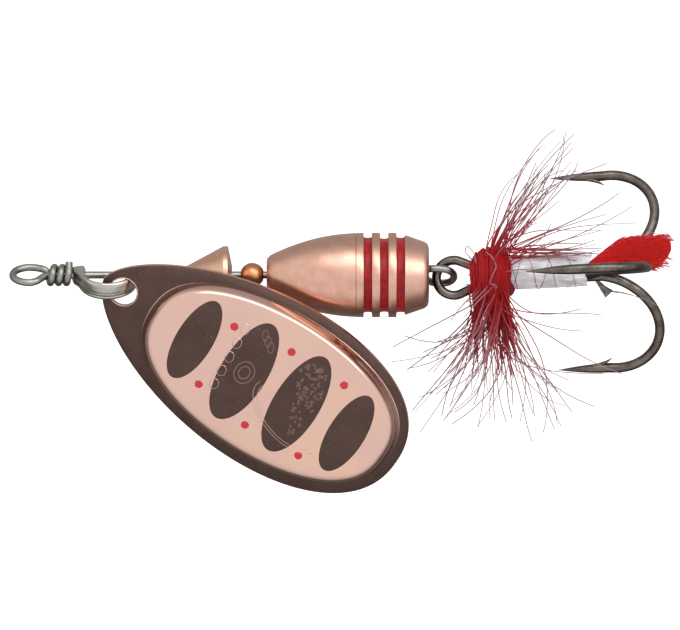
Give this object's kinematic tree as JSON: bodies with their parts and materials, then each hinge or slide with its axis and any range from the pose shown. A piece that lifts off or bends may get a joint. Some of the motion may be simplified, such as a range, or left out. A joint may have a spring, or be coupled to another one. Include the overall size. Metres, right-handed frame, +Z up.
{
  "type": "inline spinner",
  "caption": "Fishing lure with an oval spoon blade that spins on a clevis round a wire shaft, ahead of a turned copper body and a treble hook dressed with red hackle.",
  "frame": {"origin": "centre of the line eye at the front of the shaft wire", "axes": "+X along the shaft from the line eye to the treble hook, +Z up from the flat surface that the lure lies on, +Y to the left of +X"},
  "size_m": [0.0596, 0.0299, 0.0164],
  "materials": {
    "steel_wire": "bright drawn stainless wire",
    "clevis_steel": "nickel-plated pressed steel",
    "blade_copper": "brass blade, dark bronzed rim and bright rose-copper panel",
    "bright_copper": "copper-plated brass, polished",
    "body_copper": "rose-copper-plated brass, fine turned, red paint in the grooves",
    "hook_steel": "black-nickel plated hook steel",
    "red_thread": "waxed tying thread",
    "red_hackle": "dyed hackle feather barbs, grey-pink at the tips",
    "clear_sleeve": "milky translucent tube",
    "red_tail": "bright red feather tip"
  },
  "bodies": {
    "shaft": {"shaft_wire": "steel_wire"},
    "clevis": {"clevis": "clevis_steel"},
    "blade": {"blade": "blade_copper"},
    "cone": {"cone": "bright_copper"},
    "bead": {"bead": "bright_copper"},
    "body": {"body": "body_copper"},
    "treble": {"treble_double_hook": "hook_steel", "treble_single_hook": "hook_steel", "thread_head": "red_thread", "hackle_winding": "red_hackle", "shank_sleeve": "clear_sleeve", "tail_tuft": "red_tail", "hackle_bundle_01": "red_hackle", "hackle_bundle_02": "red_hackle", "hackle_bundle_03": "red_hackle", "hackle_bundle_04": "red_hackle", "hackle_bundle_05": "red_hackle", "hackle_bundle_06": "red_hackle", "hackle_bundle_07": "red_hackle", "hackle_bundle_08": "red_hackle", "hackle_bundle_09": "red_hackle", "hackle_bundle_10": "red_hackle", "hackle_bundle_11": "red_hackle", "hackle_bundle_12": "red_hackle", "hackle_bundle_13": "red_hackle", "hackle_bundle_14": "red_hackle"}
  },
  "joints": [
    {"name": "clevis_spin", "type": "hinge", "parent": "shaft", "child": "clevis", "pos_m": [0.007, 0, 0], "axis": [1, 0, 0], "continuous": true},
    {"name": "blade_swing", "type": "hinge", "parent": "clevis", "child": "blade", "pos_m": [0.007, -0.00029, 0.00046], "axis": [0, -0.848, -0.5299], "range_deg": [0, 75]},
    {"name": "cone_spin", "type": "hinge", "parent": "shaft", "child": "cone", "pos_m": [0.016, 0, 0], "axis": [1, 0, 0], "continuous": true},
    {"name": "bead_spin", "type": "hinge", "parent": "shaft", "child": "bead", "pos_m": [0.02, 0, 0], "axis": [1, 0, 0], "continuous": true},
    {"name": "body_spin", "type": "hinge", "parent": "shaft", "child": "body", "pos_m": [0.0286, 0, 0], "axis": [1, 0, 0], "continuous": true},
    {"name": "treble_swing", "type": "hinge", "parent": "shaft", "child": "treble", "pos_m": [0.03658, -0.00032, 0], "axis": [0.0471, -0.9989, 0], "range_deg": [-45, 45], "deforming": ["hackle_bundle_01", "hackle_bundle_02", "hackle_bundle_03", "hackle_bundle_04", "hackle_bundle_05", "hackle_bundle_06", "hackle_bundle_07", "hackle_bundle_08", "hackle_bundle_09", "hackle_bundle_10", "hackle_bundle_11", "hackle_bundle_12", "hackle_bundle_13", "hackle_bundle_14"]}
  ]
}
